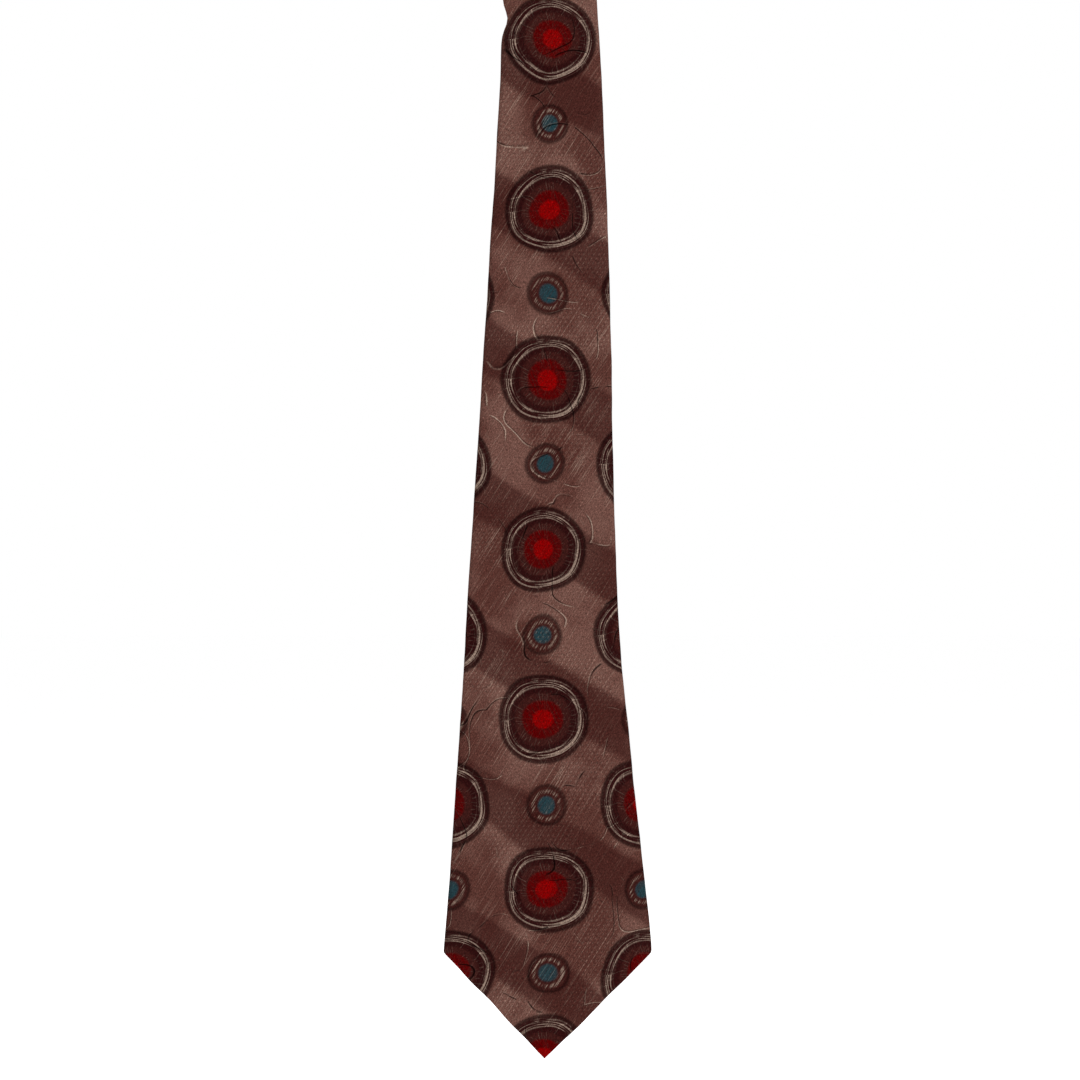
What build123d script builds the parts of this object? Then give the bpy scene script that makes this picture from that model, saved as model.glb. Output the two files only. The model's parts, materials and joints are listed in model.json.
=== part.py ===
"""A lined necktie, hung over a round hanger rod, with the front blade before and the tail behind.

Units are millimetres. The origin is the axis of the rod that the neck is folded over.
+Z is up, +X is to the right of someone who faces the tie, and the show face of the front blade looks along -Y.

A tie is a flattened tube of cloth. Each shell below is one folded piece of cloth: a show panel, two rolled
side edges and two back flaps that meet at a centre seam. An interlining fills the tube, and a lining called
the tipping closes the back of each point. The neck piece joins the blade and the tail at two piecing seams,
and those seams are where the blade and the tail swing.
"""

import math
import os

from build123d import *

# --- Driving dimensions -------------------------------------------------------------------------------
ROD_R = 8.0  # inner radius of the fold, for a 16 mm rod
THICK = 4.0  # the tie through both layers of cloth
CLOTH = 0.4  # one layer of shell cloth
ROLL_R = 1.6  # radius of the rolled side edges

FRONT_DROP = 745.0  # rod axis to the point of the front blade
REAR_DROP = 675.0  # rod axis to the point of the tail
FRONT_SEAM = 60.0  # rod axis down to the blade's piecing seam
REAR_SEAM = 190.0  # rod axis down to the tail's piecing seam

NECK_HALF = 17.2  # half width of the neck
BLADE_HALF = 49.0  # half width at the blade's corners
TAIL_HALF = 21.0  # half width at the tail's corners
BLADE_RISE = 50.0  # height of the blade's corners above its point
TAIL_RISE = 21.5  # height of the tail's corners above its point

# Half widths at heights above the point, from the corners up to the piecing seam.
BLADE_SIDE = [(BLADE_RISE, BLADE_HALF), (207.0, 35.8), (376.0, 28.0), (500.0, 22.2), (600.0, 18.6)]
BLADE_SIDE.append((FRONT_DROP - FRONT_SEAM, NECK_HALF))
TAIL_SIDE = [(TAIL_RISE, TAIL_HALF), (180.0, 19.3), (340.0, 17.8)]
TAIL_SIDE.append((REAR_DROP - REAR_SEAM, NECK_HALF))

# Layers inside the tube, as depths from the seam side.
TIPPING_DEPTH = 0.5
TIPPING_THICK = 0.3
TIPPING_INSET = 3.0
LINING_THICK = 2.2
LINING_DEPTH = (THICK - LINING_THICK) / 2
LINING_INSET = 1.5

SEAM_GAP = 0.3  # between the two back flaps
HEM = 5.0  # cloth turned back along the point's edges
BLADE_VEE = (128.0, 33.0)  # window over the tipping: height of its apex, half width at its foot
TAIL_VEE = (62.0, 13.0)
TIPPING_ABOVE = 16.0  # how far the tipping runs on above the window's apex

SWING_CLEARANCE = 0.3
HINGE_GAP = THICK / 2 + SWING_CLEARANCE  # the neck stops this far above each swing axis

# Back of the blade, as heights above its point.
LABEL_HEIGHT = 180.0
LABEL_SIZE = (54.0, 26.0, 0.5)
LABEL_STITCH_EDGE = 1.2  # from the label's short edges to the stitches along them
KEEPER_HEIGHT = 235.0
KEEPER_BAND = 12.0  # height of the strip
KEEPER_THICK = 1.0
KEEPER_RISE = 5.6  # inside, off the back of the blade
KEEPER_HALF = 31.0  # half span over the sewn feet
KEEPER_FOOT = 7.0  # underside of each foot
KEEPER_RAMP = 4.0  # run of each sloping end
KEEPER_TOP_BEND = 0.8  # underside radius at the top of a ramp
KEEPER_FOOT_BEND = 1.3  # underside radius at the foot of a ramp
CARE_HEIGHT = 152.0  # of the label's hinge edge
CARE_SIZE = (16.0, 25.0, 0.3)
CARE_X = 30.5
CARE_BEAD_R = 0.35
CARE_LIFT = 0.3  # between the bead and the flap

STITCH = (2.4, 0.5, 0.3)  # length, width and height of one stitch
STITCH_PITCH = 12.0  # up the centre seam
SHORT_PITCH = 4.0  # along labels, the keeper's feet and the hems
SEAM_STITCH_TILT = 25.0
SEAM_END = 8.0  # bare seam at each end of a row of stitches
CLEAR_OF_ROD = 16.0  # no stitch stands higher than this below the rod's axis
TACK_SIZE = (8.0, 1.4, 0.8)
THREAD_R = 0.25

# Strip planes: local x runs across, local y is up, and local z goes from the seam side to the show side.
FRONT = Plane(origin=(0, -ROD_R, 0), x_dir=(1, 0, 0), z_dir=(0, -1, 0))
REAR = Plane(origin=(0, ROD_R, 0), x_dir=(-1, 0, 0), z_dir=(0, 1, 0))


# --- Outlines -----------------------------------------------------------------------------------------
def point_height(side, inset):
    """Height above the point where its two edges, moved in by inset, meet."""
    rise, half = side[0]
    return inset * math.hypot(rise, half) / half


def blade_face(drop, side, inset=0.0, extra_top=0.0):
    """The flat outline of a blade, moved in by inset, with its point at drop below the rod's axis."""
    rise, half = side[0]
    tip = -drop + point_height(side, inset)
    corner = (half - inset, tip + (half - inset) * rise / half)
    right = [corner] + [(w - inset, -drop + h) for h, w in side[1:]]
    right[-1] = (right[-1][0], right[-1][1] + extra_top)
    left = [(-x, y) for x, y in right]
    with BuildSketch() as face:
        with BuildLine():
            Polyline(left[0], (0, tip), right[0])
            Spline(*right)
            Line(right[-1], left[-1])
            Spline(*left)
        make_face()
    return face.sketch


def fold_face(inner, outer, front_end, rear_end):
    """The side view of the neck: a half ring over the rod with a straight leg down each side."""
    with BuildSketch() as face:
        with BuildLine():
            Line((-outer, front_end), (-outer, 0))
            ThreePointArc((-outer, 0), (0, outer), (outer, 0))
            Polyline((outer, 0), (outer, rear_end), (inner, rear_end), (inner, 0))
            ThreePointArc((inner, 0), (0, inner), (-inner, 0))
            Polyline((-inner, 0), (-inner, front_end), (-outer, front_end))
        make_face()
    return face.sketch


# --- Pieces that the blade and the tail both have -----------------------------------------------------
def rolled_blade(plane, drop, side, inset=0.0):
    """A blade's whole thickness, moved in by inset all round, with its side edges rolled."""
    with BuildPart() as solid:
        with BuildSketch(plane.offset(inset)):
            add(blade_face(drop, side, inset, extra_top=inset))
        extrude(amount=THICK - 2 * inset)
        fillet(solid.edges().filter_by(GeomType.BSPLINE), ROLL_R - inset)
    return solid.part


def blade_shell(label, plane, drop, side, vee):
    """The folded cloth of a blade: a tube open at its top, with the window over its tipping."""
    apex, foot = vee
    rise, half = side[0]
    hem_tip = -drop + point_height(side, HEM)
    foot_height = hem_tip + foot * rise / half
    seam_top = -drop + side[-1][0]
    with BuildPart() as shell:
        add(rolled_blade(plane, drop, side))
        add(rolled_blade(plane, drop, side, CLOTH), mode=Mode.SUBTRACT)
        with BuildSketch(plane):
            with BuildLine():
                Polyline((0, -drop + apex), (foot, foot_height), (0, hem_tip), (-foot, foot_height), close=True)
            make_face()
            with Locations((0, (seam_top + hem_tip) / 2)):
                Rectangle(SEAM_GAP, seam_top - hem_tip)
        extrude(amount=CLOTH, mode=Mode.SUBTRACT)
    shell.part.label = label
    return shell.part


def blade_interlining(label, plane, drop, side):
    """The canvas core of a blade. Its top is rounded about the swing axis at the piecing seam."""
    top = -drop + side[-1][0]
    top_half = side[-1][1] - LINING_INSET
    with BuildPart() as core:
        with BuildSketch(plane.offset(LINING_DEPTH)):
            add(blade_face(drop, side, LINING_INSET))
        extrude(amount=LINING_THICK)
        with Locations(plane * Location((0, top, THICK / 2), (0, 90, 0))):
            Cylinder(LINING_THICK / 2, 2 * top_half)
    core.part.label = label
    return core.part


def blade_tipping(label, plane, drop, side, vee):
    """The lining that closes the back of a point, tucked under the hem and the back flaps."""
    height = vee[0] + TIPPING_ABOVE
    with BuildPart() as tipping:
        with BuildSketch(plane.offset(TIPPING_DEPTH)):
            add(blade_face(drop, side, TIPPING_INSET))
            with Locations((0, -drop + height / 2)):
                Rectangle(2 * side[0][1], height, mode=Mode.INTERSECT)
        extrude(amount=TIPPING_THICK)
    tipping.part.label = label
    return tipping.part


def bar_tack(label, plane, height):
    """A short bar of thread across the centre seam, at the apex of the window over the tipping."""
    length, width, thick = TACK_SIZE
    with BuildPart() as tack:
        with BuildSketch(plane):
            with Locations((0, height)):
                SlotOverall(length, width)
        extrude(amount=-thick)
        outer_face = tack.faces().sort_by(Axis(plane.origin, plane.z_dir))[0]
        fillet(outer_face.edges(), thick / 4)
    tack.part.label = label
    return tack.part


def stitches(label, plane, places):
    """Separate stitches lying on the seam side of a plane, at places given as (x, y, tilt in degrees)."""
    length, width, thick = STITCH
    with BuildPart() as row:
        with BuildSketch(plane):
            with Locations(*[Location((x, y, 0), (0, 0, tilt)) for x, y, tilt in places]):
                SlotOverall(length, width)
        extrude(amount=-thick)
    row.part.label = label
    return row.part


def seam_thread(label, plane, height):
    """The thread of a piecing seam, lying across the rounded top of the interlining."""
    across = height + LINING_THICK / 2 + THREAD_R
    with BuildPart() as thread:
        with Locations(plane * Location((0, across, THICK / 2), (0, 90, 0))):
            Cylinder(THREAD_R, 2 * (NECK_HALF - LINING_INSET))
    thread.part.label = label
    return thread.part


# --- Places of stitches -------------------------------------------------------------------------------
def spread(low, high, pitch):
    """Values at a pitch, centred between low and high."""
    count = int((high - low) / pitch) + 1
    start = (low + high - (count - 1) * pitch) / 2
    return [start + i * pitch for i in range(count)]


def seam_places(low, high):
    """Places of the slip stitches up a centre seam."""
    return [(0, y, SEAM_STITCH_TILT) for y in spread(low, high, STITCH_PITCH)]


def hem_places(drop, side, vee):
    """Places of the stitches that hold the tipping, along both hems of a point."""
    rise, half = side[0]
    base = -drop + point_height(side, HEM * 0.7)
    tilt = math.degrees(math.atan2(rise, half))
    right = [(x, base + x * rise / half, tilt) for x in spread(SHORT_PITCH, vee[1], SHORT_PITCH)]
    left = [(-x, y, -tilt) for x, y, tilt in right]
    return right + left


# --- Neck ---------------------------------------------------------------------------------------------
def rolled_fold(inset, past_ends):
    """The neck's whole thickness, moved in by inset all round, with its side edges rolled."""
    half = NECK_HALF - inset
    front_end = -FRONT_SEAM + HINGE_GAP - past_ends
    rear_end = -REAR_SEAM + HINGE_GAP - past_ends
    with BuildPart() as solid:
        with BuildSketch(Plane.YZ.offset(-half)):
            add(fold_face(ROD_R + inset, ROD_R + THICK - inset, front_end, rear_end))
        extrude(amount=2 * half)
        side_edges = solid.faces().filter_by(Axis.X).edges()
        fillet(side_edges.filter_by(Axis.Y, reverse=True), ROLL_R - inset)
    return solid.part


with BuildPart() as neck_shell:
    add(rolled_fold(0.0, 0.0))
    add(rolled_fold(CLOTH, 1.0), mode=Mode.SUBTRACT)
    with BuildSketch(Plane.YZ.offset(-SEAM_GAP / 2)):
        add(fold_face(ROD_R - CLOTH, ROD_R + CLOTH, -FRONT_SEAM, -REAR_SEAM))
    extrude(amount=SEAM_GAP, mode=Mode.SUBTRACT)
neck_shell.part.label = "neck_shell"

LINING_NEAR = ROD_R + LINING_DEPTH
LINING_FAR = LINING_NEAR + LINING_THICK
with BuildPart() as neck_interlining:
    with BuildSketch(Plane.YZ.offset(-NECK_HALF + LINING_INSET)):
        add(fold_face(LINING_NEAR, LINING_FAR, -FRONT_SEAM + HINGE_GAP, -REAR_SEAM + HINGE_GAP))
    extrude(amount=2 * (NECK_HALF - LINING_INSET))
neck_interlining.part.label = "neck_interlining"

with BuildPart() as neck_slip_stitches:
    add(stitches("front row", FRONT, seam_places(-FRONT_SEAM + SEAM_END, -CLEAR_OF_ROD)))
    add(stitches("rear row", REAR, seam_places(-REAR_SEAM + SEAM_END, -CLEAR_OF_ROD)))
neck_slip_stitches.part.label = "neck_slip_stitches"

# --- Labels and keeper on the back of the blade -------------------------------------------------------
LABEL_Y = -FRONT_DROP + LABEL_HEIGHT
label_length, label_width, label_thick = LABEL_SIZE
with BuildPart() as maker_label:
    with BuildSketch(FRONT):
        with Locations((0, LABEL_Y)):
            RectangleRounded(label_length, label_width, 0.8)
    extrude(amount=-label_thick)
maker_label.part.label = "maker_label"

label_rows = spread(LABEL_Y - label_width / 2 + STITCH[0], LABEL_Y + label_width / 2 - STITCH[0], SHORT_PITCH)
label_end = label_length / 2 - LABEL_STITCH_EDGE
label_places = [(x, y, 90) for x in (-label_end, label_end) for y in label_rows]
label_stitches = stitches("label_stitches", FRONT.offset(-label_thick), label_places)

# The keeper is a strip of shell cloth that arches over the back and holds the tail when it is tucked in.
KEEPER_Y = -FRONT_DROP + KEEPER_HEIGHT
ramp_foot = KEEPER_HALF - KEEPER_FOOT
ramp_top = ramp_foot - KEEPER_RAMP
keeper_right = [(ramp_top, -ROD_R + KEEPER_RISE), (ramp_foot, -ROD_R), (KEEPER_HALF, -ROD_R)]
keeper_left = [(-x, y) for x, y in reversed(keeper_right)]
with BuildPart() as keeper_loop:
    with BuildSketch(Plane.XY.offset(KEEPER_Y - KEEPER_BAND / 2)):
        with BuildLine():
            bends = [KEEPER_FOOT_BEND, KEEPER_TOP_BEND, KEEPER_TOP_BEND, KEEPER_FOOT_BEND]
            FilletPolyline(*keeper_left, *keeper_right, radius=bends)
            offset(amount=KEEPER_THICK, side=Side.LEFT)
        make_face()
    extrude(amount=KEEPER_BAND)
keeper_loop.part.label = "keeper_loop"

keeper_tack = KEEPER_HALF - STITCH[0]
keeper_rows = spread(KEEPER_Y - KEEPER_BAND / 2 + 1, KEEPER_Y + KEEPER_BAND / 2 - 1, SHORT_PITCH)
keeper_places = [(x, y, 0) for x in (-keeper_tack, keeper_tack) for y in keeper_rows]
keeper_stitches = stitches("keeper_stitches", FRONT.offset(-KEEPER_THICK), keeper_places)

# The care label is a flap that hangs from its top edge. A bead along that edge is its swing axis.
CARE_Y = -FRONT_DROP + CARE_HEIGHT
care_width, care_length, care_thick = CARE_SIZE
care_axis_depth = -CARE_LIFT - CARE_BEAD_R
with BuildPart() as care_label:
    with BuildSketch(FRONT.offset(care_axis_depth - care_thick / 2)):
        with Locations((CARE_X, CARE_Y - care_length / 2)):
            Rectangle(care_width, care_length)
    extrude(amount=care_thick)
    with Locations(FRONT * Location((CARE_X, CARE_Y, care_axis_depth), (0, 90, 0))):
        Cylinder(CARE_BEAD_R, care_width)
care_label.part.label = "care_label"

care_stitch_y = CARE_Y + CARE_BEAD_R + SWING_CLEARANCE + STITCH[0] / 2
care_columns = spread(CARE_X - care_width / 2 + 1, CARE_X + care_width / 2 - 1, SHORT_PITCH)
care_places = [(x, care_stitch_y, 90) for x in care_columns]

# --- Everything, piece by piece -----------------------------------------------------------------------
BLADE_TACK_Y = -FRONT_DROP + BLADE_VEE[0] + TACK_SIZE[1] / 2
TAIL_TACK_Y = -REAR_DROP + TAIL_VEE[0] + TACK_SIZE[1] / 2

below_label = seam_places(BLADE_TACK_Y + SEAM_END, LABEL_Y - label_width / 2 - STITCH[0])
above_label = seam_places(LABEL_Y + label_width / 2 + STITCH[0], -FRONT_SEAM - SEAM_END)
blade_seam = below_label + above_label
tail_seam = seam_places(TAIL_TACK_Y + SEAM_END, -REAR_SEAM - SEAM_END)

blade = (FRONT, FRONT_DROP, BLADE_SIDE)
tail = (REAR, REAR_DROP, TAIL_SIDE)
pieces = [
    neck_shell.part,
    neck_interlining.part,
    neck_slip_stitches.part,
    blade_shell("blade_shell", *blade, BLADE_VEE),
    blade_interlining("blade_interlining", *blade),
    blade_tipping("blade_tipping", *blade, BLADE_VEE),
    stitches("blade_hem_stitches", FRONT, hem_places(FRONT_DROP, BLADE_SIDE, BLADE_VEE)),
    stitches("blade_slip_stitches", FRONT, blade_seam),
    bar_tack("blade_bar_tack", FRONT, BLADE_TACK_Y),
    seam_thread("front_seam_thread", FRONT, -FRONT_SEAM),
    blade_shell("tail_shell", *tail, TAIL_VEE),
    blade_interlining("tail_interlining", *tail),
    blade_tipping("tail_tipping", *tail, TAIL_VEE),
    stitches("tail_hem_stitches", REAR, hem_places(REAR_DROP, TAIL_SIDE, TAIL_VEE)),
    stitches("tail_slip_stitches", REAR, tail_seam),
    bar_tack("tail_bar_tack", REAR, TAIL_TACK_Y),
    seam_thread("rear_seam_thread", REAR, -REAR_SEAM),
    maker_label.part,
    label_stitches,
    keeper_loop.part,
    keeper_stitches,
    care_label.part,
    stitches("care_label_stitches", FRONT, care_places),
]

os.makedirs("parts", exist_ok=True)
for piece in pieces:
    export_step(piece, f"parts/{piece.label}.step")
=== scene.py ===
"""A printed silk necktie, folded over a rod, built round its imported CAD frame.

Places on the tie are given in millimetres by a strip coordinate: s runs along the middle of the tie from the
blade's point, up the front, over the rod and down to the tail's point, x runs across it, and depth is the
distance from the middle of its thickness, positive towards the show side. The print is drawn in the same
coordinates, through a UV map that lies flat on the cloth, so that it bends with the cloth in every pose.
"""

import bisect
import json
import math

import bmesh
import bpy
import numpy as np
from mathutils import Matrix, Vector, noise


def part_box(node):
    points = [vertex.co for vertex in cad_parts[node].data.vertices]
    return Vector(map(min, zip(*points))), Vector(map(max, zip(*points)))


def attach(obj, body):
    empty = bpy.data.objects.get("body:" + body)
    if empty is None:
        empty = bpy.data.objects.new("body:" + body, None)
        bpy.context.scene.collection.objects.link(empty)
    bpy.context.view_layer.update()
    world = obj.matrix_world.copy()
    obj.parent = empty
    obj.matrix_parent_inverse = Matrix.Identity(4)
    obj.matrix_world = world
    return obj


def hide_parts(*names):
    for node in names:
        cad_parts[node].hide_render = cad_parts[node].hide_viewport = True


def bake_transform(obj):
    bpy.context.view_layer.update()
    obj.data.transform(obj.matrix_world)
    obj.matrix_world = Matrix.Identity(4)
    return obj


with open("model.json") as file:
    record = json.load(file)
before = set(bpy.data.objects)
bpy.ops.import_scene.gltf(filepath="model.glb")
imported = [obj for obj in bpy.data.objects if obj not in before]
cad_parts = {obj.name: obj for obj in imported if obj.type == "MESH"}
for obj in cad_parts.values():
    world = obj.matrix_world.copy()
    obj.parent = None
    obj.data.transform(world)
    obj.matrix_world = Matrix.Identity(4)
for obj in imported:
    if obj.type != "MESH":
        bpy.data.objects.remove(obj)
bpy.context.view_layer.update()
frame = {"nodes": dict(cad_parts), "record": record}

MM = 0.001


def box_mm(cad_node):
    """The lowest and the highest corner of a CAD node, in millimetres."""
    return (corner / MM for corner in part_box(cad_node))


# --- The strip ---
blade_low, blade_high = box_mm("blade_shell")
tail_low, tail_high = box_mm("tail_shell")
_, neck_high = box_mm("neck_shell")
ROD_R = frame["record"]["mounts"][0]["dims"]["r_mm"]
FOLD_R = (neck_high.z + ROD_R) / 2  # radius of the middle of the thickness over the rod
CLOTH = 0.36  # thickness of one layer of silk
HALF_THICK = (neck_high.z - ROD_R) / 2 - CLOTH / 2  # middle of the tie to the middle of one layer

FRONT_DROP = -blade_low.z
REAR_DROP = -tail_low.z
CROWN = math.pi * FOLD_R
LENGTH = FRONT_DROP + CROWN + REAR_DROP
FRONT_SEAM = FRONT_DROP + blade_high.z
REAR_SEAM = FRONT_DROP + CROWN - tail_high.z
TOP = FRONT_DROP + CROWN / 2

BLADE_HALF, TAIL_HALF, NECK_HALF = blade_high.x, tail_high.x, neck_high.x
BLADE_RISE, TAIL_RISE = 50.0, 21.5  # heights of the corners above the points
HALF_WIDTHS = [
    # (place along the tie, half width)
    (BLADE_RISE, BLADE_HALF), (207, 35.8), (376, 28.0), (500, 22.2), (600, 18.6), (FRONT_SEAM, NECK_HALF),
    (REAR_SEAM, NECK_HALF), (LENGTH - 340, 17.8), (LENGTH - 180, 19.3), (LENGTH - TAIL_RISE, TAIL_HALF),
]
SWAY = [
    # (place along the tie, how far its middle lies to the right)
    (0, 0.0), (50, 1.6), (150, -0.2), (207, -0.9), (263, -0.2), (357, 1.9), (452, 3.0), (640, 0.0),
    (LENGTH, 0.0),
]
BOW = [
    # (place along the tie, how far it stands out)
    (0, -0.5), (70, -0.6), (152, 0.0), (260, 0.7), (420, 0.3), (620, 0.0), (1000, 0.0), (1250, 0.9),
    (LENGTH, -0.4),
]
CORNER_SOFT = 0.4  # how much the corners are rounded
PINCH = (490.0, 6.0, 2.7)  # a dent in the left edge: its place along the tie, its spread and its depth

HEM = 5.0  # width of the hem along the slanting ends
BLADE_WINDOW = (128.0, 33.0)  # window over the lining: height of its apex, half width at its foot
TAIL_WINDOW = (62.0, 13.0)
LINING_TOP = 16.0  # how far the lining runs on above the apex


def smooth(t):
    """0 to 1 with a soft start and end."""
    t = np.clip(t, 0.0, 1.0)
    return t * t * (3 - 2 * t)


def curve(stations):
    """A smooth curve through (place, value) stations, without overshoot, as a function of the place."""
    places = [float(place) for place, _ in stations]
    values = [float(value) for _, value in stations]
    rises = [(values[i + 1] - values[i]) / (places[i + 1] - places[i]) for i in range(len(places) - 1)]
    slopes = [2 * a * b / (a + b) if a * b > 0 else 0.0 for a, b in zip(rises, rises[1:])]
    slopes = [rises[0]] + slopes + [rises[-1]]

    def at(s):
        i = min(max(bisect.bisect_right(places, s) - 1, 0), len(places) - 2)
        span = places[i + 1] - places[i]
        t = min(max((s - places[i]) / span, 0.0), 1.0)
        start = values[i] * (1 + 2 * t) * (1 - t) ** 2 + slopes[i] * span * t * (1 - t) ** 2
        return start + values[i + 1] * t * t * (3 - 2 * t) - slopes[i + 1] * span * t * t * (1 - t)

    return at


side_width = curve(HALF_WIDTHS)
sway = curve(SWAY)
bow = curve(BOW)


def nearest_point(s):
    """(distance from the nearer point, rise of its corners, half width there, its window)."""
    if s < TOP:
        return s, BLADE_RISE, BLADE_HALF, BLADE_WINDOW
    return LENGTH - s, TAIL_RISE, TAIL_HALF, TAIL_WINDOW


def half_width(s):
    """Half width at s, with the slanting ends and slightly rounded corners."""
    height, rise, half, _ = nearest_point(s)
    slant = half / rise * math.sqrt(height * (height + 0.5))
    side = side_width(s)
    return side - CORNER_SOFT * math.log1p(math.exp(min((side - slant) / CORNER_SOFT, 200)))


def window(s):
    """Half width at s of the opening between the back flaps."""
    height, rise, half, (apex, foot) = nearest_point(s)
    hem_tip = HEM * math.hypot(rise, half) / half
    foot_height = hem_tip + foot * rise / half
    if height >= apex:
        return 0.0
    if height > foot_height:
        return foot * (apex - height) / (apex - foot_height)
    return max((height - hem_tip) * half / rise, 0.0)


def half_thick(s, x):
    """Middle of the tie to the middle of its outer layer, less towards the hems and the sides."""
    height, rise, half, _ = nearest_point(s)
    to_hem = (height * half / rise - np.abs(x)) * rise / math.hypot(rise, half)
    to_side = half_width(s) - np.abs(x)
    return HALF_THICK * (0.5 + 0.5 * smooth((to_hem + 1) / 13)) * (0.88 + 0.12 * smooth(to_side / 7))


def place(s, x, depth):
    """The point in the frame, in metres, of a place on the tie."""
    depth = depth + bow(s)
    x = x + sway(s)
    if s < FRONT_DROP:
        return Vector((x, -FOLD_R - depth, s - FRONT_DROP)) * MM
    if s > FRONT_DROP + CROWN:
        return Vector((x, FOLD_R + depth, FRONT_DROP + CROWN - s)) * MM
    turn = (s - FRONT_DROP) / FOLD_R
    return Vector((x, -(FOLD_R + depth) * math.cos(turn), (FOLD_R + depth) * math.sin(turn))) * MM


# --- Meshes ---
pieces = {}  # every mesh made here, by its name


def make_piece(name, vertices, faces, uvs=None):
    """A smooth-shaded mesh object. uvs gives each vertex its place on the flat cloth, in millimetres."""
    mesh = bpy.data.meshes.new(name)
    mesh.from_pydata([tuple(v) for v in vertices], [], faces)
    if uvs is not None:
        layer = mesh.uv_layers.new(name="cloth")
        for loop in mesh.loops:
            layer.data[loop.index].uv = uvs[loop.vertex_index]
    mesh.shade_smooth()
    piece = bpy.data.objects.new(name, mesh)
    bpy.context.scene.collection.objects.link(piece)
    pieces[name] = piece
    return piece


def grid_faces(rows, columns):
    """Quads of a grid whose vertices run row by row."""
    return [
        (r * columns + c, r * columns + c + 1, (r + 1) * columns + c + 1, (r + 1) * columns + c)
        for r in range(rows - 1)
        for c in range(columns - 1)
    ]


def apply_modifiers(piece):
    """Replaces the piece's mesh by what its modifiers make of it."""
    bpy.context.view_layer.update()
    evaluated = piece.evaluated_get(bpy.context.evaluated_depsgraph_get())
    mesh = bpy.data.meshes.new_from_object(evaluated)
    piece.modifiers.clear()
    piece.data = mesh
    mesh.name = piece.name


def thicken(piece, thickness):
    """Gives a single sheet its thickness, half to each side, and merges vertices that fell together."""
    shape = bmesh.new()
    shape.from_mesh(piece.data)
    bmesh.ops.remove_doubles(shape, verts=shape.verts, dist=0.02 * MM)
    bmesh.ops.recalc_face_normals(shape, faces=shape.faces)
    shape.to_mesh(piece.data)
    shape.free()
    solid = piece.modifiers.new("thickness", "SOLIDIFY")
    solid.thickness = thickness * MM
    solid.offset = 0
    apply_modifiers(piece)


def finish_layer(piece, thickness):
    """Gives a single sheet its thickness."""
    thicken(piece, thickness)


CROWN_PITCH = 1.0  # distance between rows where the tie bends over the rod
BEND_REACH = 28.0  # how far the soft bend of a swing runs on each side of its piecing seam
BEND_PITCH = 1.4  # distance between rows in that bend


def rows_between(start, end, pitch, marks):
    """Places along the tie at about the pitch, closer at each mark, over the rod and at the seams."""
    close = [m + d for m in marks for d in (-4, -2, -1, -0.5, 0, 0.5, 1, 2, 4)]
    close += list(np.arange(FRONT_DROP, FRONT_DROP + CROWN, CROWN_PITCH))
    for seam in (FRONT_SEAM, REAR_SEAM):
        close += list(np.arange(seam - BEND_REACH + 0.25, seam + BEND_REACH, BEND_PITCH))
    even = np.linspace(start, end, int((end - start) / pitch) + 2)
    far = [s for s in even if all(abs(s - c) > 0.6 for c in close)]
    inside = [s for s in close if start + 0.3 < s < end - 0.3]
    return sorted(set([start, end] + far + inside))


# --- Folded cloth ---
FRONT_COLUMNS = 24  # from the middle to one rolled edge
ROLL_COLUMNS = 9  # round one rolled edge
BACK_COLUMNS = 16  # across one back flap
LIP_COLUMNS = 4  # where the flap turns under at the seam
ROLL = 2.3  # how far across the rolled edge curves
SEAM_SLANT = 0.45  # how far a piecing seam runs up per millimetre across
SEAM_SLANT_REACH = 52.0  # how far from the seam rows still lean with it
CLOTH_PITCH, LAYER_PITCH = 3.0, 4.0  # distance between rows of folded cloth and of the layers inside
SEAM_DIP = 0.45  # depth of the groove at a piecing seam


def half_section(s, width, gap):
    """(x, depth) across half the tie, from the middle of the front round the edge to the back seam."""
    roll = min(ROLL, width * 0.45)
    lip = min(0.5, width * 0.1)
    tuck = 0.3 if gap > 0 else 0.6
    front_x = np.linspace(0, width - roll, FRONT_COLUMNS)
    turn = np.linspace(0, math.pi, ROLL_COLUMNS + 2)[1:-1]
    roll_x = width - roll + roll * np.sin(turn)
    inner = min(gap + 0.08 + lip, width - roll - 0.02)
    back_x = np.linspace(width - roll, inner, BACK_COLUMNS)
    tuck_turn = np.linspace(0, math.pi / 2, LIP_COLUMNS + 1)[1:]
    lip_x = inner - lip * np.sin(tuck_turn)
    edge = half_thick(s, width - roll)
    front = half_thick(s, front_x)
    back = -half_thick(s, back_x)
    lip_depth = back[-1] + tuck * (1 - np.cos(tuck_turn))
    x = np.concatenate([front_x, roll_x, back_x, lip_x])
    depth = np.concatenate([front, edge * np.cos(turn), back, lip_depth])
    return x, depth


def ripple(s, x, depth):
    """Small unevenness of pressed silk over wool, in millimetres."""
    side = 0.0 if depth > 0 else 31.0
    broad = noise.noise((x / 31, s / 74, side))
    fine = noise.noise((x / 9, s / 21, side + 7))
    return 0.34 * broad + 0.10 * fine


def edge_wobble(s, side):
    """Unevenness of the rolled edges. The left edge also has a pinch in it."""
    wobble = 0.35 * noise.noise((s / 34, 5.0 * side, 0.3)) + 0.12 * noise.noise((s / 9, 9.0 * side, 4.1))
    centre, spread, dent = PINCH
    if side < 0:
        wobble -= dent * math.exp(-(((s - centre) / spread) ** 2))
    height, rise, _, _ = nearest_point(s)
    on_hem = float(smooth(height / 12)) * (1 - float(smooth((height - rise + 4) / 8)))
    wobble += 0.9 * noise.noise((s / 11, 3.0 * side, 7.7)) * on_hem
    return wobble * float(smooth(height / 12))


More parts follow.
